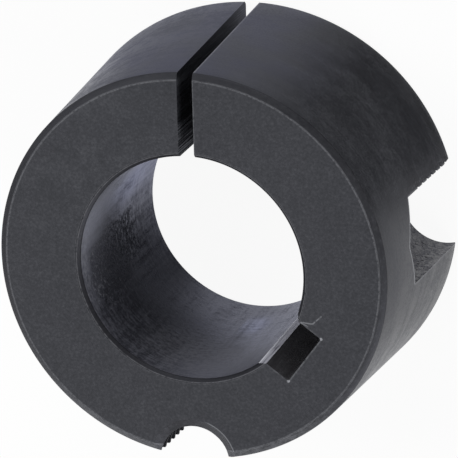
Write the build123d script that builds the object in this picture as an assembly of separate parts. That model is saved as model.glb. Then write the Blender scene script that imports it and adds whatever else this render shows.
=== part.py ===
from build123d import *
from math import cos, radians, sin, sqrt, tan
import os
os.makedirs("parts", exist_ok=True)

# Taper bush, one solid. It stands on its large end, the small end is up.
# Angles are measured clockwise from the saw slot, seen from the small end.

# tapered body
LARGE_END_DIA = 47.6
LENGTH = 25.4
TAPER_HALF_ANGLE = 4.0
SMALL_END_CHAMFER_WIDTH = 0.65
SMALL_END_CHAMFER_DEPTH = 0.35
LARGE_END_CHAMFER = 0.4

# bore
BORE_DIA = 25.4
BORE_EDGE_BREAK = 0.4

# saw slot, through one wall
SLOT_WIDTH = 1.75

# keyway in the bore, full length
KEYWAY_WIDTH = 6.35
KEYWAY_DEPTH = 3.15
KEYWAY_ANGLE = 126.2
KEYWAY_EDGE_CHAMFER = 0.7
KEYWAY_CORNER_RADIUS = 0.2

# half-holes that share the tapered seat with the hub
HOLE_PITCH_DIA = 44.7

# jacking half-hole, threaded, through, opposite the slot
JACK_ANGLE = 180.6
JACK_THREAD_MINOR_DIA = 7.76
JACK_COUNTERSINK_DIA = 9.7
JACK_COUNTERSINK_ANGLE = 120.0

# screw half-holes, plain, blind, open at the large end
SCREW_HOLE_DIA = 9.94
SCREW_HOLE_DEPTH = 14.9
SCREW_HOLE_ANGLE = 85.9
SCREW_HOLE_POINT_ANGLE = 130.0
SCREW_COUNTERSINK_DIA = 10.3
SCREW_COUNTERSINK_ANGLE = 90.0

OVERRUN = 2.0

large_r = LARGE_END_DIA / 2
bore_r = BORE_DIA / 2
pitch_r = HOLE_PITCH_DIA / 2
taper = tan(radians(TAPER_HALF_ANGLE))
small_r = large_r - LENGTH * taper


def around(radius, clockwise):
    """Point in plan at a clockwise angle from the slot."""
    return (radius * sin(radians(clockwise)), radius * cos(radians(clockwise)))


def countersink(hole_dia, mouth_dia, included, at, z, up):
    """Countersink cone of an included angle, its mouth on the face at z."""
    spread = tan(radians(included / 2))
    lead = (mouth_dia - hole_dia) / 2 / spread
    tool = Cone(
        bottom_radius=mouth_dia / 2 + OVERRUN * spread,
        top_radius=hole_dia / 2,
        height=OVERRUN + lead,
        align=(Align.CENTER, Align.CENTER, Align.MIN),
    )
    if up:
        return Pos(at[0], at[1], z - OVERRUN) * tool
    return Pos(at[0], at[1], z + OVERRUN) * Rot(180, 0, 0) * tool


# body: one turned profile, radius against height
profile = Polyline(
    (bore_r + BORE_EDGE_BREAK, 0, 0),
    (large_r - LARGE_END_CHAMFER, 0, 0),
    (large_r - LARGE_END_CHAMFER * taper, 0, LARGE_END_CHAMFER),
    (small_r + SMALL_END_CHAMFER_DEPTH * taper, 0, LENGTH - SMALL_END_CHAMFER_DEPTH),
    (small_r - SMALL_END_CHAMFER_WIDTH, 0, LENGTH),
    (bore_r + BORE_EDGE_BREAK, 0, LENGTH),
    (bore_r, 0, LENGTH - BORE_EDGE_BREAK),
    (bore_r, 0, BORE_EDGE_BREAK),
    close=True,
)
body = revolve(make_face(profile), axis=Axis.Z, revolution_arc=360)

# saw slot
slot_reach = large_r + OVERRUN
slot = Pos(0, slot_reach / 2, LENGTH / 2) * Box(SLOT_WIDTH, slot_reach, LENGTH + 2 * OVERRUN)
body -= slot

# keyway with its edges at the bore chamfered and its floor corners rounded
half_w = KEYWAY_WIDTH / 2
flare = half_w + KEYWAY_EDGE_CHAMFER
edge_x = sqrt(bore_r ** 2 - flare ** 2)
floor_x = bore_r + KEYWAY_DEPTH
key_outline = Polyline(
    (0, -flare),
    (edge_x, -flare),
    (edge_x + KEYWAY_EDGE_CHAMFER, -half_w),
    (floor_x, -half_w),
    (floor_x, half_w),
    (edge_x + KEYWAY_EDGE_CHAMFER, half_w),
    (edge_x, flare),
    (0, flare),
    close=True,
)
key_tool = extrude(make_face(key_outline), LENGTH + 2 * OVERRUN, dir=(0, 0, 1))
floor_corners = key_tool.edges().filter_by(Axis.Z).sort_by(Axis.X)[-2:]
key_tool = fillet(floor_corners, KEYWAY_CORNER_RADIUS)
body -= Pos(0, 0, -OVERRUN) * Rot(0, 0, 90 - KEYWAY_ANGLE) * key_tool

# jacking half-hole, at the thread's minor diameter
jack_at = around(pitch_r, JACK_ANGLE)
jack_hole = Pos(jack_at[0], jack_at[1], LENGTH / 2) * Cylinder(
    JACK_THREAD_MINOR_DIA / 2, LENGTH + 2 * OVERRUN
)
body -= jack_hole
for z, up in ((0, True), (LENGTH, False)):
    body -= countersink(
        JACK_THREAD_MINOR_DIA, JACK_COUNTERSINK_DIA, JACK_COUNTERSINK_ANGLE, jack_at, z, up
    )

# screw half-holes, one each side of the slot, drilled from the large end
screw_r = SCREW_HOLE_DIA / 2
point_h = screw_r / tan(radians(SCREW_HOLE_POINT_ANGLE / 2))
for side in (1, -1):
    at = around(pitch_r, side * SCREW_HOLE_ANGLE)
    drill_len = SCREW_HOLE_DEPTH + OVERRUN
    drill = Pos(at[0], at[1], SCREW_HOLE_DEPTH - drill_len / 2) * Cylinder(screw_r, drill_len)
    point = Pos(at[0], at[1], SCREW_HOLE_DEPTH + point_h / 2) * Cone(screw_r, 0, point_h)
    body -= drill
    body -= point
    body -= countersink(
        SCREW_HOLE_DIA, SCREW_COUNTERSINK_DIA, SCREW_COUNTERSINK_ANGLE, at, 0, True
    )

taper_bush = body.solid()
taper_bush.label = "taper_bush"
print("volume", round(taper_bush.volume, 1), "box", taper_bush.bounding_box())
export_step(taper_bush, "parts/taper_bush.step")
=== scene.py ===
from math import cos, hypot, pi, radians, sin, sqrt, tan

import bmesh
import bpy
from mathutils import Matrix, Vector


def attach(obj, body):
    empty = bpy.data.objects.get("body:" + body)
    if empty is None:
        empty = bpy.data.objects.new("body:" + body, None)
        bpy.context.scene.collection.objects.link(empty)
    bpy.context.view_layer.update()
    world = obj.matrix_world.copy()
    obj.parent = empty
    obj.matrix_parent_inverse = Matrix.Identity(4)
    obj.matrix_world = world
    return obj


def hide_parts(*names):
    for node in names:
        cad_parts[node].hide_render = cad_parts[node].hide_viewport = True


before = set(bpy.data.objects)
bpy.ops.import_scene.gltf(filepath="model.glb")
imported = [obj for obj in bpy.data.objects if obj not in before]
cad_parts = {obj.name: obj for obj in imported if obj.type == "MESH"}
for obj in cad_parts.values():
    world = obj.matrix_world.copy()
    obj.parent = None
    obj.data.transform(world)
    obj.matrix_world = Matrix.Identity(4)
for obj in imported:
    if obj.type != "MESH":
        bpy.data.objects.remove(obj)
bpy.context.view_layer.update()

# ---------------------------------------------------------------- sizes
# lengths in metres, angles in degrees clockwise from the slot as seen from the small end
MM = 0.001
TOUCHING = 1e-6
OVERRUN = 2 * MM
BODY_SIDES = 360
ROUND_SIDES = 96
SMOOTH_ANGLE = 28.0

LENGTH = 25.4 * MM
LARGE_R = 23.8 * MM
TAPER = tan(radians(4.0))
SMALL_R = LARGE_R - LENGTH * TAPER
BORE_R = 12.7 * MM
SMALL_CHAMFER = 0.35 * MM
SMALL_CHAMFER_WIDTH = 0.65 * MM
LARGE_CHAMFER = 0.40 * MM
BORE_EDGE = 0.40 * MM
EDGE_ROUND = 0.12 * MM

SLOT_WIDTH = 1.75 * MM

KEY_WIDTH = 6.35 * MM
KEY_FLOOR = BORE_R + 3.15 * MM
KEY_ANGLE = 126.2
KEY_CHAMFER = 0.7 * MM
KEY_CORNER = 0.2 * MM

PITCH_R = 22.35 * MM
JACK_MINOR_R = 3.88 * MM
JACK_MAJOR_R = 4.8 * MM
JACK_MOUTH_R = 4.85 * MM
JACK_MOUTH_FLANK = 60.0
JACK_MOUTH_DEPTH = (JACK_MOUTH_R - JACK_MINOR_R) / tan(radians(JACK_MOUTH_FLANK))
JACK_ANGLE = 180.6

THREAD_PITCH = 25.4 / 16 * MM
THREAD_FLANK = 27.5
THREAD_SPREAD = 0.12 * MM
THREAD_ROUND = 0.16 * MM
THREAD_OVERLAP = 0.05 * MM
THREAD_STEPS = 72
THREAD_RUN_IN = 1.8 * MM
THREAD_RUN_OUT = 2.4 * MM

SCREW_R = 4.97 * MM
SCREW_DEPTH = 14.9 * MM
SCREW_MOUTH_R = 5.15 * MM
SCREW_MOUTH_DEPTH = SCREW_MOUTH_R - SCREW_R
SCREW_ANGLE = 85.9
POINT_FLANK = 65.0
POINT_HEIGHT = SCREW_R / tan(radians(POINT_FLANK))

FLARE_DEPTH = 2.7 * MM
FLARE_WIDER = 0.24 * MM
FLARE_NARROWER = 0.03 * MM
FLARE_LEAN = 0.27 * MM

SCORE_DEPTH = 0.13 * MM
SCORE_ROOT = 0.4 * MM
SCORE_STOP = 2.5 * MM
SCORE_ANGLE = SCREW_ANGLE - 0.3
SCORE_SLOTWARD = 0.18 * MM


def around(radius, clockwise):
    """Plan point at a clockwise angle from the slot, seen from the small end."""
    return radius * sin(radians(clockwise)), radius * cos(radians(clockwise))


# ---------------------------------------------------------------- modelling helpers
def deselect():
    bpy.ops.object.select_all(action="DESELECT")


def pick(obj):
    deselect()
    obj.select_set(True)
    bpy.context.view_layer.objects.active = obj


def edit(obj, mode="FACE"):
    pick(obj)
    bpy.ops.object.mode_set(mode="EDIT")
    bpy.ops.mesh.select_mode(type=mode)


def leave():
    bpy.ops.object.mode_set(mode="OBJECT")


def select_everything():
    bpy.ops.mesh.select_all(action="SELECT")


def select(obj, test, kind="faces"):
    """Selects only the faces, edges or vertices for which test says yes."""
    bpy.ops.mesh.select_all(action="DESELECT")
    mesh = bmesh.from_edit_mesh(obj.data)
    for part in getattr(mesh, kind):
        if test(part):
            part.select_set(True)
    mesh.select_flush_mode()
    bmesh.update_edit_mesh(obj.data)


def facing(x=0, y=0, z=0):
    """Test for a face that points in a direction."""
    return lambda f: f.normal.dot(Vector((x, y, z))) > 0.9


def extrude(x=0, y=0, z=0):
    bpy.ops.mesh.extrude_region_move(TRANSFORM_OT_translate={"value": (x, y, z)})


def apply_place():
    bpy.ops.object.transform_apply(location=True, rotation=True, scale=True)


def stand(obj, at, z=0.0):
    """Moves the picked piece to a plan point and keeps its place in its mesh."""
    obj.location = (*at, z)
    apply_place()


def clean_shell():
    """Merges the doubles of the shell that is being edited and turns its faces outwards."""
    select_everything()
    bpy.ops.mesh.remove_doubles(threshold=TOUCHING)
    bpy.ops.mesh.normals_make_consistent(inside=False)


# ---------------------------------------------------------------- the turned body
def at_point(x, z):
    """Test for a vertex of the wall section at a radius and height."""
    return lambda v: abs(v.co.x - x) < TOUCHING and abs(v.co.z - z) < TOUCHING


def wall_section():
    """Half section of the wall in the XZ plane, with its corners broken."""
    deselect()
    bpy.ops.mesh.primitive_plane_add(size=1, location=(0, 0, 0), rotation=(pi / 2, 0, 0))
    wall = bpy.context.object
    wall.name = "taper_bush_machined"
    wall.scale = (LARGE_R - BORE_R, LENGTH, 1)
    wall.location = ((LARGE_R + BORE_R) / 2, 0, LENGTH / 2)
    apply_place()
    edit(wall, "VERT")
    select(wall, at_point(LARGE_R, LENGTH), "verts")
    bpy.ops.transform.translate(value=(SMALL_R - LARGE_R, 0, 0))
    for x, z, depth in (
        (LARGE_R, 0.0, LARGE_CHAMFER),
        (SMALL_R, LENGTH, SMALL_CHAMFER),
        (BORE_R, 0.0, BORE_EDGE),
        (BORE_R, LENGTH, BORE_EDGE),
    ):
        select(wall, at_point(x, z), "verts")
        bpy.ops.mesh.bevel(offset=depth, segments=1, affect="VERTICES")
    middle = (SMALL_R + BORE_R) / 2
    select(wall, lambda v: v.co.z > LENGTH - TOUCHING and v.co.x > middle, "verts")
    bpy.ops.transform.translate(value=(SMALL_CHAMFER - SMALL_CHAMFER_WIDTH, 0, 0))
    select_everything()
    bpy.ops.mesh.bevel(offset=EDGE_ROUND, segments=3, affect="VERTICES")
    select_everything()
    bpy.ops.mesh.delete(type="ONLY_FACE")
    leave()
    return wall


def turned_body():
    body = wall_section()
    edit(body, "VERT")
    select_everything()
    bpy.ops.mesh.spin(steps=BODY_SIDES, angle=2 * pi, center=(0, 0, 0), axis=(0, 0, 1))
    clean_shell()
    leave()
    return body


# ---------------------------------------------------------------- cutters
def slot_cutter():
    deselect()
    reach = LARGE_R + OVERRUN
    bpy.ops.mesh.primitive_cube_add(
        size=1,
        location=(0, reach / 2, LENGTH / 2),
        scale=(SLOT_WIDTH, reach, LENGTH + 2 * OVERRUN),
    )
    cutter = bpy.context.object
    apply_place()
    return cutter


def key_cutter():
    """A keyway cutter that also breaks the keyway's corners at the bore."""
    deselect()
    half = KEY_WIDTH / 2
    flare = half + KEY_CHAMFER
    mouth = sqrt(BORE_R ** 2 - flare ** 2)
    start = mouth + KEY_CHAMFER
    bpy.ops.mesh.primitive_cube_add(
        size=1,
        location=((start + KEY_FLOOR) / 2, 0, LENGTH / 2),
        scale=(KEY_FLOOR - start, KEY_WIDTH, LENGTH + 2 * OVERRUN),
    )
    cutter = bpy.context.object
    apply_place()
    edit(cutter)
    select(cutter, facing(x=-1))
    extrude(x=-KEY_CHAMFER)
    bpy.ops.transform.resize(value=(1, flare / half, 1))
    extrude(x=-mouth)
    leave()
    edit(cutter, "EDGE")
    select(cutter, lambda e: all(abs(v.co.x - KEY_FLOOR) < TOUCHING for v in e.verts)
           and abs(e.verts[0].co.z - e.verts[1].co.z) > LENGTH, "edges")
    bpy.ops.mesh.bevel(offset=KEY_CORNER, segments=4, affect="EDGES")
    leave()
    cutter.rotation_euler.z = radians(90 - KEY_ANGLE)
    apply_place()
    return cutter


def drill(at, radius, depth, mouth_r, lead, point=0.0, through=False):
    """A drill with a countersink below, and above too where it goes through."""
    deselect()
    grow = mouth_r / radius
    low, high = lead, depth - (lead if through else 0)
    bpy.ops.mesh.primitive_cylinder_add(
        vertices=ROUND_SIDES, radius=radius, depth=high - low, location=(0, 0, (low + high) / 2)
    )
    cutter = bpy.context.object
    apply_place()
    for way in (-1, 1) if through else (-1,):
        edit(cutter)
        select(cutter, facing(z=way))
        extrude(z=way * lead)
        bpy.ops.transform.resize(value=(grow, grow, 1))
        extrude(z=way * OVERRUN)
        leave()
    if point:
        edit(cutter)
        select(cutter, facing(z=1))
        extrude(z=point)
        bpy.ops.mesh.merge(type="CENTER")
        leave()
    stand(cutter, at)
    return cutter


def thread_cutter(at, base_r, tip_r, bottom, top):
    """A helical ridge with rounded V-shaped turns, a pitch apart."""
    deselect()
    half = (tip_r - base_r) * tan(radians(THREAD_FLANK)) + THREAD_SPREAD
    bpy.ops.mesh.primitive_circle_add(vertices=3, radius=1, fill_type="NGON")
    ridge = bpy.context.object
    edit(ridge, "VERT")
    mesh = bmesh.from_edit_mesh(ridge.data)
    mesh.verts.ensure_lookup_table()
    root = base_r - THREAD_OVERLAP
    for vert, (out, up) in zip(mesh.verts, ((root, -half), (tip_r, 0.0), (root, half))):
        vert.co = (out, 0, up)
    bmesh.update_edit_mesh(ridge.data)
    select(ridge, lambda v: v.co.x > base_r, "verts")
    bpy.ops.mesh.bevel(offset=THREAD_ROUND, segments=2, affect="VERTICES")
    select_everything()
    bpy.ops.mesh.delete(type="ONLY_FACE")
    leave()
    screw = ridge.modifiers.new("turns", "SCREW")
    screw.axis = "Z"
    screw.angle = 2 * pi
    screw.screw_offset = THREAD_PITCH
    screw.iterations = int((top - bottom) / THREAD_PITCH) + 1
    screw.steps = screw.render_steps = THREAD_STEPS
    screw.use_merge_vertices = False
    screw.use_normal_calculate = True
    bpy.ops.object.modifier_apply(modifier=screw.name)
    edit(ridge, "EDGE")
    select(ridge, lambda e: e.is_boundary, "edges")
    bpy.ops.mesh.edge_face_add()
    clean_shell()
    leave()
    stand(ridge, at, bottom)
    return ridge


def cut(body, cutter):
    pick(body)
    knife = body.modifiers.new("cut", "BOOLEAN")
    knife.operation = "DIFFERENCE"
    knife.solver = "EXACT"
    knife.object = cutter
    bpy.ops.object.modifier_apply(modifier=knife.name)
    bpy.data.objects.remove(cutter)


def flare_cutter(at):
    """A cone that opens the slotward side of a screw hole towards the large end."""
    deselect()
    bpy.ops.mesh.primitive_cone_add(
        vertices=ROUND_SIDES,
        radius1=SCREW_R + FLARE_WIDER,
        radius2=SCREW_R - FLARE_NARROWER,
        depth=FLARE_DEPTH + OVERRUN,
        location=(0, 0, (FLARE_DEPTH - OVERRUN) / 2),
    )
    cutter = bpy.context.object
    apply_place()
    edit(cutter, "VERT")
    select(cutter, lambda v: v.co.z < 0, "verts")
    bpy.ops.transform.translate(value=(0, FLARE_LEAN, 0))
    leave()
    stand(cutter, at)
    return cutter


def scoring_cutter(side):
    """Tool marks in the slotward wall of a screw hole, which a coarse ridge leaves."""
    x, y = around(PITCH_R, side * SCORE_ANGLE)
    return thread_cutter((x, y + SCORE_SLOTWARD), SCREW_R - SCORE_ROOT, SCREW_R + SCORE_DEPTH,
                         -THREAD_RUN_IN, SCREW_DEPTH - SCORE_STOP)


def machined_bush():
    body = turned_body()
    cut(body, slot_cutter())
    cut(body, key_cutter())
    for side in (1, -1):
        at = around(PITCH_R, side * SCREW_ANGLE)
        cut(body, drill(at, SCREW_R, SCREW_DEPTH, SCREW_MOUTH_R, SCREW_MOUTH_DEPTH,
                        point=POINT_HEIGHT))
        cut(body, flare_cutter(at))
        cut(body, scoring_cutter(side))
    jack = around(PITCH_R, JACK_ANGLE)
    cut(body, drill(jack, JACK_MINOR_R, LENGTH, JACK_MOUTH_R, JACK_MOUTH_DEPTH, through=True))
    cut(body, thread_cutter(jack, JACK_MINOR_R, JACK_MAJOR_R, -THREAD_RUN_IN,
                            LENGTH + THREAD_RUN_OUT))
    pick(body)
    bpy.ops.object.shade_smooth_by_angle(angle=radians(SMOOTH_ANGLE))
    return body


# ---------------------------------------------------------------- shader arithmetic
class Value:
    """A material socket that Python operators work on."""

    def __init__(self, tree, socket=None):
        self.tree = tree
        self.socket = socket

    def node(self, kind, settings=None, inputs=None, out=0):
        made = self.tree.nodes.new(kind)
        for name, setting in (settings or {}).items():
            if name == "stops":
                marks = made.color_ramp.elements
                while len(marks) < len(setting):
                    marks.new(0.5)
                for mark, (place, colour) in zip(marks, setting):
                    mark.position = place
                    mark.color = (*colour, 1)
            else:
                setattr(made, name, setting)
        for name, given in (inputs or {}).items():
            if isinstance(given, Value):
                self.tree.links.new(given.socket, made.inputs[name])
            else:
                made.inputs[name].default_value = given
        return Value(self.tree, made.outputs[out] if made.outputs else None)

    def math(self, operation, *others):
        return self.node("ShaderNodeMath", {"operation": operation},
                         dict(enumerate((self, *others))))

    def __add__(self, other):
        return self.math("ADD", other)

    __radd__ = __add__

    def __sub__(self, other):
        return self.math("SUBTRACT", other)

    def __rsub__(self, other):
        return self.node("ShaderNodeMath", {"operation": "SUBTRACT"}, {0: other, 1: self})

    def __mul__(self, other):
        return self.math("MULTIPLY", other)

    __rmul__ = __mul__

    def span(self, low, high):
        """0 at low and 1 at high, held outside them."""
        return self.node("ShaderNodeMapRange", {"interpolation_type": "SMOOTHSTEP"}, {
            "Value": self, "From Min": low, "From Max": high})

    def near(self, centre, reach):
        """1 at the centre, falling to 0 at the reach on both sides."""
        return (self - centre).math("ABSOLUTE").span(reach, 0.0)

    def grain(self, size, stretch=(1, 1, 1), detail=3, roughness=0.55, shift=(0, 0, 0)):
        """Noise whose lumps are about size millimetres, longer where stretched."""
        scaled = self.node("ShaderNodeMapping", None, {
            "Vector": self, "Location": shift, "Scale": tuple(1 / times for times in stretch)})
        return self.node("ShaderNodeTexNoise", None, {
            "Vector": scaled, "Scale": 0.55 / size, "Detail": detail, "Roughness": roughness})

    def blend(self, first, second):
        return self.node("ShaderNodeMix", {"data_type": "RGBA"}, {0: self, 6: first, 7: second}, 2)

    def shades(self, dark, middle, pale, at):
        """Dark at 0, middle at the given tone and pale at 1."""
        stops = (0.0, dark), (at, middle), (1.0, pale)
        return self.node("ShaderNodeValToRGB", {"stops": stops}, {"Fac": self})

    def at_least(self, least):
        return self.math("MAXIMUM", least)


def length(u, v):
    return (u * u + v * v).math("SQRT")


def uneven(level, *grains):
    """A level made uneven by grains, each with its own weight."""
    for grain, weight in grains:
        level = (grain - 0.5) * weight + level
    return level


class Place:
    """Where a point is, in millimetres and degrees: x, y, z, distance out, turn and arc."""

    ARC_R = 22.0  # where the arc is a true length
    FADE = 0.1  # how softly a scratch ends

    def __init__(self, shader):
        object_place = shader.node("ShaderNodeTexCoord", out="Object")
        self.point = shader.node("ShaderNodeMapping", None, {
            "Vector": object_place, "Scale": (1 / MM, 1 / MM, 1 / MM)})
        self.x, self.y, self.z = (
            shader.node("ShaderNodeSeparateXYZ", None, {0: self.point}, axis) for axis in range(3))
        self.out = length(self.x, self.y)
        self.turn = self.x.math("ARCTAN2", self.y) * (180 / pi)
        self.arc = shader.node("ShaderNodeCombineXYZ", None, {
            0: self.turn * (pi / 180 * self.ARC_R), 1: self.z, 2: self.out})

    def keyway(self):
        """Distances out along the keyway's middle and across it, up towards the slot."""
        key_x, key_y = around(1, KEY_ANGLE)
        return self.x * key_x + self.y * key_y, self.y * key_x - self.x * key_y

    def from_hole(self, angle, x):
        """Distances in x and y from the axis of a hole on the pitch circle."""
        hole_x, hole_y = (c / MM for c in around(PITCH_R, angle))
        return x - hole_x, self.y - hole_y

    def patch(self, turn, turn_reach, z, z_reach):
        """Soft spot round a clockwise angle from the slot and a height."""
        return self.turn.near(turn, turn_reach) * self.z.near(z, z_reach)

    def stroke(self, u, v, start, end, width):
        """A scratch between two points on a plane whose directions are u and v."""
        long = hypot(end[0] - start[0], end[1] - start[1])
        run_u, run_v = (end[0] - start[0]) / long, (end[1] - start[1]) / long
        off_u, off_v = u - start[0], v - start[1]
        along = off_u * run_u + off_v * run_v
        aside = off_v * run_u - off_u * run_v
        ends = along.span(-self.FADE, self.FADE) * along.span(long + self.FADE, long - self.FADE)
        return aside.near(0, width) * ends


def new_material(name):
    material = bpy.data.materials.new(name)
    material.use_nodes = True
    tree = material.node_tree
    tree.nodes.clear()
    return material, Value(tree)


def blacked(shader, colour, roughness, height, depth, tint, gloss=0.5, bare_and_highlight=0.0):
    """Oxide-blacked iron; depth is the relief's in millimetres, bare_and_highlight how much metal
    shows, which in the bore also paints highlights.
    """
    relief = shader.node("ShaderNodeBump", None, {
        "Strength": 1.0, "Distance": depth * MM, "Height": height})
    iron = shader.node("ShaderNodeBsdfPrincipled", None, {
        "Base Color": colour, "Roughness": roughness, "Metallic": bare_and_highlight, "Normal": relief,
        "Specular Tint": (*tint, 1), "Specular IOR Level": gloss})
    shader.node("ShaderNodeOutputMaterial", None, {"Surface": iron})


# ---------------------------------------------------------------- finishes
# a finish adds its nodes to the shader it is given; p is the Place of the point that it colours

# where the marks are, in millimetres as Place gives them
TOP = LENGTH / MM
BORE = BORE_R / MM
FACE_RIM = (SMALL_R - SMALL_CHAMFER_WIDTH) / MM
BORE_RIM = (BORE_R + BORE_EDGE) / MM
SLOT_SIDE = SLOT_WIDTH / MM / 2
KEY_SIDE = KEY_WIDTH / MM / 2
KEY_LAND_SIDE = (KEY_WIDTH / 2 + KEY_CHAMFER) / MM
KEY_END = KEY_FLOOR / MM
HOLE = SCREW_R / MM
HOLE_END = SCREW_DEPTH / MM

# each finish's dark, middle and pale shade, and the tone that gets the middle one
FACE_SHADES = (0.016, 0.017, 0.020), (0.034, 0.035, 0.041), (0.072, 0.074, 0.083), 0.45
TAPER_SHADES = (0.017, 0.0175, 0.021), (0.034, 0.035, 0.040), (0.070, 0.072, 0.080), 0.46
VIOLET_SHADES = (0.016, 0.016, 0.022), (0.033, 0.034, 0.048), (0.066, 0.068, 0.092), 0.46
BORE_SHADES = (0.008, 0.008, 0.010), (0.038, 0.039, 0.049), (0.125, 0.127, 0.150), 0.46
SAWN_SHADES = (0.004, 0.004, 0.005), (0.018, 0.019, 0.023), (0.095, 0.098, 0.110), 0.40
KEYWAY_SHADES = (0.014, 0.0135, 0.015), (0.042, 0.041, 0.045), (0.110, 0.112, 0.120), 0.45
LAND_SHADES = (0.08, 0.08, 0.10), (0.32, 0.32, 0.37), (0.75, 0.76, 0.82), 0.45
HOLE_SHADES = (0.014, 0.014, 0.018), (0.040, 0.041, 0.052), (0.110, 0.112, 0.134), 0.48
THREAD_SHADES = (0.003, 0.003, 0.004), (0.009, 0.009, 0.011), (0.050, 0.052, 0.058), 0.40
EDGE_SHADES = (0.010, 0.010, 0.012), (0.023, 0.0234, 0.026), (0.090, 0.092, 0.105), 0.40
# pale colour of rubbed wear, also used for painted highlights and painted reflections
RUBBED_AND_HIGHLIGHT = (0.26, 0.265, 0.285, 1)

# tints of the gloss
BLUISH = (0.84, 0.86, 1.0)
FAINTLY_BLUE = (0.93, 0.95, 1.0)
MIDDLING = (0.7, 0.72, 0.8)
DULL = (0.5, 0.51, 0.56)


def slot_edge_highlight(p, width):
    """A pale line along one edge of the slot, the clockwise one: a painted edge highlight."""
    return p.x.near(SLOT_SIDE, width) * p.y.span(0, 1)


def face_edges(p, deep, beside):
    """Pale lines along the rims, the slot and the keyway: partly rubbed wear, partly painted edge
    highlight.
    """
    rims = p.out.near(FACE_RIM - 0.13, 0.12) * 0.30 + p.out.near(BORE_RIM + 0.10, 0.12) * 0.20
    key_end = deep.near(KEY_END + 0.08, 0.15) * beside.span(KEY_SIDE + 0.22, KEY_SIDE - 0.08)
    key_side = beside.near(KEY_SIDE + 0.06, 0.13) * deep.near(KEY_END - 1.45, 1.6)
    return rims + slot_edge_highlight(p, 0.16) * 0.30 + key_end * 0.28 + key_side * 0.16


def keyway_scuff(p, deep, above):
    """Scratches that fork from the bore, above the keyway: start, end and width of each."""
    scratches = (((13.0, 0.10), (14.2, 0.85), 0.13), ((14.15, 0.85), (14.4, 2.2), 0.13),
                 ((13.0, 0.05), (13.9, 0.25), 0.10))
    return sum(p.stroke(deep, above, *scratch) for scratch in scratches)


def jack_mouth_highlight(p):
    """A pale line on one side of the jack hole's mouth: a painted highlight on its edge."""
    off_x, off_y = p.from_hole(JACK_ANGLE, p.x)
    return length(off_x, off_y).near(JACK_MOUTH_R / MM + 0.06, 0.12) * off_x.span(1.2, 2.2)


def ground_face(shader, p):
    """Flat ends: fine even grain, cloudier on the left, with pale lines at the edges."""
    fine = p.point.grain(0.17, detail=2, roughness=0.7)
    lumps = p.point.grain(0.45, detail=3, roughness=0.6)
    cloud = p.point.grain(1.6, detail=3, roughness=0.6)
    wide = p.point.grain(7.0, detail=2)
    leftward = p.turn.near(-40, 50)
    scratch = p.point.grain(0.35, (1, 16, 1), 1).span(0.70, 0.78) * cloud.span(0.45, 0.6)
    smudge = p.x.near(-1.7, 0.9) * p.y.span(17.5, 20.5)
    deep, upward = p.keyway()
    beside = upward.math("ABSOLUTE")
    burr = (deep.near(KEY_END + 0.02, 0.30) * beside.near(KEY_SIDE + 0.02, 0.30)).span(0.2, 0.6)
    scuff = keyway_scuff(p, deep, upward - KEY_SIDE)
    # pale wear at burrs and scratches by the keyway, and painted highlights along the edges and the
    # jack hole's mouth
    wear_and_highlight = (face_edges(p, deep, beside) * fine.span(0.2, 0.6) + burr * lumps.span(0.3, 0.6)
            + scuff * lumps.span(0.32, 0.5) * 0.55 + jack_mouth_highlight(p) * 0.6)
    tone = (uneven(0.44, (fine, 0.95), (lumps, 0.40), (cloud, leftward * 0.45 + 0.22), (wide, 0.10))
            + scratch * 0.12 - smudge * 0.16 + p.turn.near(-60, 60) * 0.04)
    blacked(shader, wear_and_highlight.blend(tone.shades(*FACE_SHADES), RUBBED_AND_HIGHLIGHT), uneven(0.66, (lumps, 0.4)),
            fine + lumps * 0.8, depth=0.012, tint=FAINTLY_BLUE, gloss=0.3)


def screw_hole_marks(p):
    """On the taper: the holes' pale edges, partly wear and partly painted edge highlight, and the
    torn skin beside them.
    """
    off_x, off_y = p.from_hole(SCREW_ANGLE, p.x.math("ABSOLUTE"))
    off = length(off_x, off_y)
    side = off.near(HOLE + 0.08, 0.2) * p.z.span(HOLE_END + 0.2, HOLE_END - 0.1)
    drill_point = (HOLE - off) * (POINT_HEIGHT / SCREW_R) + HOLE_END
    blind = (p.z - drill_point).near(0.1, 0.2) * off.span(HOLE + 0.13, HOLE - 0.07)
    torn = (off.near(HOLE + 0.45, 0.5) * off_y.span(1, 3)
            * p.z.span(HOLE_END + 0.1, HOLE_END - 1.9))
    return side * 0.32 + blind * 0.9, torn


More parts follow.
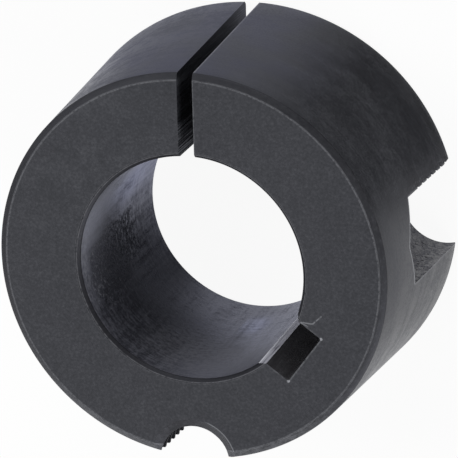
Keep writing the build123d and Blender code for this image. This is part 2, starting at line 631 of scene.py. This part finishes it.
def turned_taper(shader, p):
    """Outer taper: satin, with fine turning lines, dark streaks and a few bright nicks."""
    lines = p.arc.grain(0.14, (60, 1, 1), 2)
    streaks = p.arc.grain(0.9, (9, 1, 1), 4, 0.6)
    blotch = p.arc.grain(2.6, (1.8, 1, 1), 4, 0.62)
    mottle = p.point.grain(0.7, detail=4, roughness=0.7)
    fine = p.point.grain(0.14, detail=2, roughness=0.7)
    nicks = p.point.grain(0.5, (1, 1, 1), 1, shift=(7, 3, 1)).span(0.80, 0.86)
    left = p.turn.span(8, -8)
    drawn = p.turn.span(75, 100) * 0.45 + p.turn.span(10, -10) * 0.35 + 0.14
    rim = p.z.near(TOP - 0.40, 0.12)
    shade = p.z.span(23.6, 24.9) + p.z.span(20.5, 24.5) * p.turn.near(90, 40)
    edges, torn = screw_hole_marks(p)
    # pale wear at the nicks and torn skin, and painted highlights, partly wear, along the slot and
    # hole edges
    wear_and_highlight = ((slot_edge_highlight(p, 0.22) * 0.5 + edges + nicks * 0.35) * fine.span(0.15, 0.55)
            + torn * fine.span(0.52, 0.68) * 0.35)
    tone = (uneven(0.47, (lines, 0.35), (streaks, drawn * 0.8), (blotch, 0.75),
                   (mottle, left * 0.9 + 0.55), (fine, left * 0.6 + 0.55))
            + rim * 0.10 - shade * 0.14 - torn * 0.12)
    violet = (p.point.grain(5.0, detail=2).span(0.62, 0.38) * p.turn.span(42, 12)
              + p.turn.span(4, -4) * 0.4)
    blacking = violet.blend(tone.shades(*TAPER_SHADES), tone.shades(*VIOLET_SHADES))
    rough = uneven(0.39, (streaks, drawn * 0.7), (mottle, left * 0.5 + 0.3), (blotch, 0.50),
                   (fine, 0.5)).at_least(0.3)
    blacked(shader, wear_and_highlight.blend(blacking, RUBBED_AND_HIGHLIGHT), rough, lines * 0.5 + streaks * drawn + fine * 1.2,
            depth=0.012, tint=BLUISH)


def bored_wall(shader, p):
    """Bore: granular, with dark bands, streaks along it and paler clouds; painted shade deep in on
    one side, and painted highlights and reflections.
    """
    granular = p.arc.grain(0.26, (2.0, 1, 1), 4, 0.68)
    cloud = p.arc.grain(2.4, (1, 1.6, 1), 4, 0.6)
    along = p.arc.grain(0.5, (1, 22, 1), 2)
    feed = p.arc.grain(0.16, (12, 1, 1), 3)
    rough_patch = (p.turn.near(-102, 31) * p.z.span(24.2, 20.2) * p.z.span(4, 14)
                   + (cloud - 0.5) * 0.96 + (along - 0.5) * 0.48).span(0.1, 0.6)
    # painted shade: darker and rougher deep in the bore towards the large end, round 108 degrees
    # anticlockwise from the slot
    deep_shade = p.turn.near(-108, 40) * p.z.span(12, 6)
    pale_lines = p.z.near(14, 10) * sum(
        p.turn.near(turn, reach) for turn, reach in ((-137, 1.1), (-118.5, 1.3), (-108, 1.8)))
    # the bottom of the bore, where a painted reflection goes
    low = p.turn.math("ABSOLUTE").near(168, 40) * p.z.near(13, 13)
    # some bare metal in the granular patch; the rest is painted highlight and reflection: pale on
    # the left up to the small end, a spot at the bottom, one beside the keyway and the bottom's
    # reflection
    bare_and_highlight = (p.turn.near(-68, 26) * (granular.span(0.3, 0.6) * 0.35 + 0.40)
            + p.turn.near(-92, 24) * p.z.near(24, 1.8) * granular.span(0.4, 0.6) * 0.5
            + p.patch(173, 13, 7.5, 5).span(0.0, 0.9) * 0.75
            + p.patch(-68, 16, 10.5, 8) * 0.4 + p.patch(136, 6, 3, 5) * 0.7
            + rough_patch * granular.span(0.52, 0.64) * 0.35
            + low * (granular.span(0.35, 0.6) * 0.40 + 0.12))
    tone = (uneven(0.54, (granular, rough_patch * 2.0 + 1.0), (cloud, 0.80), (along, 0.30),
                   (feed, 0.80))
            + pale_lines * 0.20 - rough_patch * 0.16 - deep_shade * 0.25)
    rough = (uneven(0.37, (granular, 0.6), (cloud, 0.5), (along, 0.3), (feed, 0.4))
             + rough_patch * granular.span(0.40, 0.56) * 0.40 + deep_shade * 0.25).at_least(0.34)
    blacked(shader, bare_and_highlight.blend(tone.shades(*BORE_SHADES), RUBBED_AND_HIGHLIGHT), rough,
            granular * 0.8 + along * 0.5 + feed * 0.6, depth=0.018, tint=BLUISH, bare_and_highlight=bare_and_highlight * 0.7)


def sawn_wall(shader, p):
    """Slot: nearly black, with saw lines along the bush; paler at the bore and the large end,
    painted light where light gets in.
    """
    saw = p.point.grain(0.10, (1, 1, 50), 1)
    broad = p.point.grain(0.8, (1, 1, 5), 3)
    fine = p.point.grain(0.2, detail=2, roughness=0.7)
    ripple = (p.y * (2 * pi / 0.30) + broad * 5.0).math("SINE")
    # painted light: paler near the bore and the large end, where light gets into the slot
    lit_at_openings = p.out.span(17.2, 14.6).at_least(p.z.span(9, 2))
    tone = (uneven(0.28, (saw, lit_at_openings * 2.2 + 1.2), (broad, 0.7), (fine, 0.4))
            + ripple * lit_at_openings * 0.26 + lit_at_openings * 0.20)
    blacked(shader, tone.shades(*SAWN_SHADES), uneven(0.58, (saw, 0.5)),
            saw + broad * 0.3 + fine * 0.2, depth=0.05, tint=MIDDLING, gloss=0.3)


def broached_wall(shader, p):
    """Keyway: dark, scored along its length, with bright burrs at the small end."""
    scored = p.point.grain(0.2, (1, 1, 30), 2)
    broad = p.point.grain(1.4, (1, 1, 3), 3)
    fine = p.point.grain(0.22, detail=2, roughness=0.7)
    mouth = p.z.span(TOP - 0.28, TOP)
    burr = mouth * fine.span(0.52, 0.68)
    tone = (uneven(0.42, (scored, 0.55), (broad, 0.6), (fine, 0.45))
            + mouth * 0.12 + burr * 0.6)
    blacked(shader, tone.shades(*KEYWAY_SHADES), uneven(0.66, (scored, 0.2)), scored + fine * 0.3,
            depth=0.02, tint=DULL, gloss=0.25)


def worn_land_with_highlight(shader, p):
    """The broken corners of the keyway: rubbed pale, partly a painted reflection, with a painted
    highlight brightest where they meet the bore.
    """
    drawn = p.point.grain(0.14, (1, 1, 24), 2)
    dirt = p.point.grain(0.7, (1, 1, 3), 3, 0.7).span(0.55, 0.70)
    upward = p.keyway()[1]
    # painted highlight line along the land's edge with the bore
    bore_edge_highlight = upward.math("ABSOLUTE").near(KEY_LAND_SIDE, 0.22)
    tone = uneven(0.48, (drawn, 0.9)) + bore_edge_highlight * 0.5 - dirt * 0.3
    blacked(shader, tone.shades(*LAND_SHADES), uneven(0.30, (drawn, 0.3)), drawn,
            depth=0.01, tint=(0.9, 0.92, 1.0), gloss=0.8)


def drilled_wall(shader, p):
    """Screw holes: mottled and pitted, and towards the drill point darker and smoother."""
    mottle = p.point.grain(0.24, detail=3, roughness=0.7)
    cloud = p.point.grain(2.4, detail=3)
    pits = (p.point.grain(0.30, detail=1, shift=(3, 5, 9)).span(0.36, 0.24)
            * p.z.span(HOLE_END - 0.7, HOLE_END - 3.4))
    tone = (uneven(0.48, (mottle, 2.0), (cloud, 0.9))
            - pits * 0.7 - p.z.span(HOLE_END - 4.4, HOLE_END - 0.4) * 0.22)
    rough = (uneven(0.48, (mottle, 1.4), (cloud, 0.6)) + pits * 0.5).at_least(0.3)
    blacked(shader, tone.shades(*HOLE_SHADES), rough, mottle * 0.7 - pits,
            depth=0.042, tint=(0.82, 0.84, 1.0), gloss=0.36)


def cut_thread(shader, p):
    """Jack hole thread: flanks painted nearly black as shade in the hole, worn paler on the crests.
    """
    fine = p.point.grain(0.25, detail=3, roughness=0.7)
    crest = length(*p.from_hole(JACK_ANGLE, p.x)).near(JACK_MINOR_R / MM, 0.16)
    tone = uneven(0.26, (fine, 0.5)) + crest * 0.10
    # near-black shades and a grey gloss tint: painted shade in the hole
    blacked(shader, tone.shades(*THREAD_SHADES), uneven(0.7, (fine, 0.2)), fine,
            depth=0.015, tint=(0.4, 0.4, 0.44), gloss=0.2)


def broken_edge(shader, p):
    """Chamfers and countersinks: darker than the faces, partly painted shade, speckled, rubbed pale
    where they meet, partly painted highlight.
    """
    speck = p.arc.grain(0.22, (1.8, 1, 1), 3, 0.75)
    cloud = p.arc.grain(2.2, (2, 1, 1), 3)
    corners = p.out.near(FACE_RIM - 0.06, 0.12) * 0.35 + p.out.near(BORE_RIM, 0.11) * 0.30
    round_turn = p.turn.math("ABSOLUTE")
    # painted light: paler beyond the face's rim on the side away from the slot
    low = round_turn.span(128, 150) * p.out.span(FACE_RIM - 0.22, FACE_RIM + 0.03)
    # painted shade: chamfers darker on the slot's side
    upper = round_turn.span(115, 95) * p.turn.span(75, 30)
    at_bore = p.out.span(15, 14)
    wear_and_highlight = corners * speck.span(0.2, 0.6) + low * (speck.span(0.3, 0.6) * 0.14 + 0.08)
    tone = uneven(0.38, (speck, 0.9), (cloud, 0.5)) - at_bore.at_least(upper * 0.45) * 0.36
    blacked(shader, wear_and_highlight.blend(tone.shades(*EDGE_SHADES), RUBBED_AND_HIGHLIGHT), uneven(0.56, (speck, 0.25)),
            speck, depth=0.02, tint=BLUISH, gloss=0.3)


FINISHES = (ground_face, turned_taper, bored_wall, sawn_wall, broached_wall, drilled_wall,
            cut_thread, broken_edge, worn_land_with_highlight)

# how nearly a face's direction, from 0 to 1, and its middle have to fit a cut
SQUARE = 0.99
ROUND = 0.98
CLOSE = 0.1 * MM
KEYWAY_FROM = BORE_R - 1.1 * MM
LAND_TO = BORE_R + 0.15 * MM
HOLE_WITHIN = SCREW_R + 0.7 * MM


def finish_of(face):
    """The finish of the cut that made a face."""
    c, n = face.calc_center_median(), face.normal
    out = hypot(c.x, c.y)
    radial = (n.x * c.x + n.y * c.y) / out
    from_end = min(c.z, LENGTH - c.z)
    if abs(n.z) > SQUARE and from_end < CLOSE / 10:
        return ground_face
    if radial > ROUND and abs(out - (LARGE_R - c.z * TAPER)) < CLOSE:
        return turned_taper
    if radial < -ROUND and abs(out - BORE_R) < CLOSE:
        return bored_wall
    if abs(n.x) > SQUARE and abs(c.x) < SLOT_WIDTH and c.y > 0:
        return sawn_wall
    key_x, key_y = around(1, KEY_ANGLE)
    deep = c.x * key_x + c.y * key_y
    across = abs(c.x * key_y - c.y * key_x)
    in_keyway = deep > KEYWAY_FROM and across < KEY_WIDTH / 2 + KEY_CHAMFER + CLOSE / 2
    if in_keyway and abs(n.z) < 0.5:
        on_corner = deep < LAND_TO and abs(n.x * key_x + n.y * key_y) > 0.2
        return worn_land_with_highlight if on_corner else broached_wall
    jack_x, jack_y = around(PITCH_R, JACK_ANGLE)
    if hypot(c.x - jack_x, c.y - jack_y) < JACK_MAJOR_R + CLOSE:
        faces_out = n.z * (c.z - LENGTH / 2) > 0 and abs(n.z) > 0.8
        return broken_edge if from_end < JACK_MOUTH_DEPTH and faces_out else cut_thread
    for side in (1, -1):
        x, y = around(PITCH_R, side * SCREW_ANGLE)
        if hypot(c.x - x, c.y - y) < HOLE_WITHIN and c.z < SCREW_DEPTH + POINT_HEIGHT:
            return drilled_wall
    return broken_edge


def dress(body):
    """Gives every face of the bush its finish, each a material of the same name."""
    body.data.materials.clear()
    for index, finish in enumerate(FINISHES):
        material, shader = new_material(finish.__name__)
        finish(shader, Place(shader))
        body.data.materials.append(material)
        edit(body)
        select(body, lambda f: finish_of(f) is finish)
        body.active_material_index = index
        bpy.ops.object.material_slot_assign()
        leave()


# ---------------------------------------------------------------- the studio
FLOOR_SIZE = 6
FLOOR_PAPER = (0.8, 0.8, 0.8, 1)
FLOOR_WHITE = 0.93

# a black card under the bush, seen only in its gloss: painted shade in the reflections
CARD_R = 0.5
CARD_HEIGHT = 0.05 * MM
SHADE_CARD_BLACK = (0.01, 0.01, 0.01, 1)

# name, clockwise angle and rise in degrees, watts
SOFTBOXES = (("soft_back", 0, 18, 2.9), ("soft_right", 135, 18, 6.3),
             ("soft_left", 225, 18, 2.4), ("soft_high", 300, 50, 4.0))
SOFTBOX_SIZE = 0.45
SOFTBOX_REACH = 0.9
WORLD_STRENGTH = 0.3

LENS = 253.21
EYE = (0.106044, 0.112409, 0.339156)
EYE_TURN = (-18.508, 17.436, -1.528)


def white_floor():
    """Pale paper, which the camera and reflections see as near white."""
    material, shader = new_material("floor_paper")
    camera_ray, glossy_ray, transmission_ray = (
        shader.node("ShaderNodeLightPath", out=f"Is {kind} Ray")
        for kind in ("Camera", "Glossy", "Transmission"))
    paper = shader.node("ShaderNodeBsdfDiffuse", inputs={"Color": FLOOR_PAPER})
    white = shader.node("ShaderNodeEmission", inputs={"Color": (1, 1, 1, 1), "Strength": 1.0})
    seen = (camera_ray + glossy_ray + transmission_ray) * FLOOR_WHITE
    mixed = shader.node("ShaderNodeMixShader", inputs={0: seen, 1: paper, 2: white})
    shader.node("ShaderNodeOutputMaterial", inputs={"Surface": mixed})
    return material


def floor():
    deselect()
    bpy.ops.mesh.primitive_plane_add(size=FLOOR_SIZE, location=(0, 0, 0))
    sheet = bpy.context.object
    sheet.name = "floor_sheet"
    sheet.data.materials.append(white_floor())


def painted_shade_gauze():
    """Painted shade for the gloss: black round the slotted side, for the bush's own shadow on the
    floor, and in part of the bore, for the shade under the bush; clear elsewhere.
    """
    material, shader = new_material("painted_shade_gauze")
    p = Place(shader)
    rising = p.turn.span(-60, -35) * 0.52 + p.turn.span(6, 40) * 0.48
    falling = 1.0 - p.turn.span(68, 94) * 0.65 - p.turn.span(115, 150) * 0.35
    outside = rising * falling * p.out.math("GREATER_THAN", LARGE_R / MM + 0.1)
    in_bore = p.out.math("LESS_THAN", BORE + 1.8)
    under = p.x.span(-9.5, -4) * p.y.span(-9.5, -5)
    corner = p.turn.near(-130, 34) * p.out.span(4, 8) * 0.75
    inside = under.at_least(corner) * in_bore
    # a bluish tint of what the gloss sees, round the slot's side and in the bore: painted
    # reflection colour
    cool = (p.turn.near(-15, 75) + in_bore).span(0, 1)
    matt = shader.node("ShaderNodeBsdfDiffuse", inputs={"Color": SHADE_CARD_BLACK})
    plain = shader.node("ShaderNodeBsdfTransparent", inputs={"Color": (1, 1, 1, 1)})
    bluish = shader.node("ShaderNodeBsdfTransparent", inputs={"Color": (*BLUISH, 1)})
    clear = shader.node("ShaderNodeMixShader", inputs={0: cool, 1: plain, 2: bluish})
    mixed = shader.node("ShaderNodeMixShader", inputs={0: outside + inside, 1: clear, 2: matt})
    shader.node("ShaderNodeOutputMaterial", inputs={"Surface": mixed})
    return material


def painted_shade_card():
    """A black card that the bush stands on, seen only in the gloss: it paints shade into the bush's
    reflections.
    """
    deselect()
    bpy.ops.mesh.primitive_circle_add(
        vertices=ROUND_SIDES, radius=CARD_R, fill_type="NGON", location=(0, 0, CARD_HEIGHT))
    card = bpy.context.object
    card.name = "painted_shade_card"
    apply_place()
    card.data.materials.append(painted_shade_gauze())
    card.visible_camera = False
    card.visible_diffuse = False
    card.visible_transmission = False
    card.visible_shadow = False


def softbox(name, turn, rise, watts):
    """A square soft light, aimed at the bush from a clockwise angle and a rise."""
    light = bpy.data.lights.new(name, "AREA")
    light.shape = "SQUARE"
    light.size = SOFTBOX_SIZE
    light.energy = watts
    box = bpy.data.objects.new(name, light)
    bpy.context.scene.collection.objects.link(box)
    aim = Vector((*around(cos(radians(rise)), turn), sin(radians(rise))))
    box.location = aim * SOFTBOX_REACH + Vector((0, 0, LENGTH / 2))
    box.rotation_euler = aim.to_track_quat("Z", "Y").to_euler()


def studio():
    floor()
    painted_shade_card()
    for setup in SOFTBOXES:
        softbox(*setup)
    world = bpy.data.worlds.new("studio")
    bpy.context.scene.world = world
    world.use_nodes = True
    sky = world.node_tree.nodes["Background"].inputs
    sky["Color"].default_value = (1, 1, 1, 1)
    sky["Strength"].default_value = WORLD_STRENGTH


def camera():
    lens = bpy.data.cameras.new("view")
    lens.sensor_width = 36
    lens.lens = LENS
    lens.clip_end = 20
    eye = bpy.data.objects.new("view", lens)
    bpy.context.scene.collection.objects.link(eye)
    eye.location = EYE
    eye.rotation_euler = [radians(turn) for turn in EYE_TURN]
    bpy.context.scene.camera = eye


bush = machined_bush()
dress(bush)
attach(bush, "root")
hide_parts("taper_bush")

studio()
camera()
bpy.context.scene.view_settings.view_transform = "Standard"
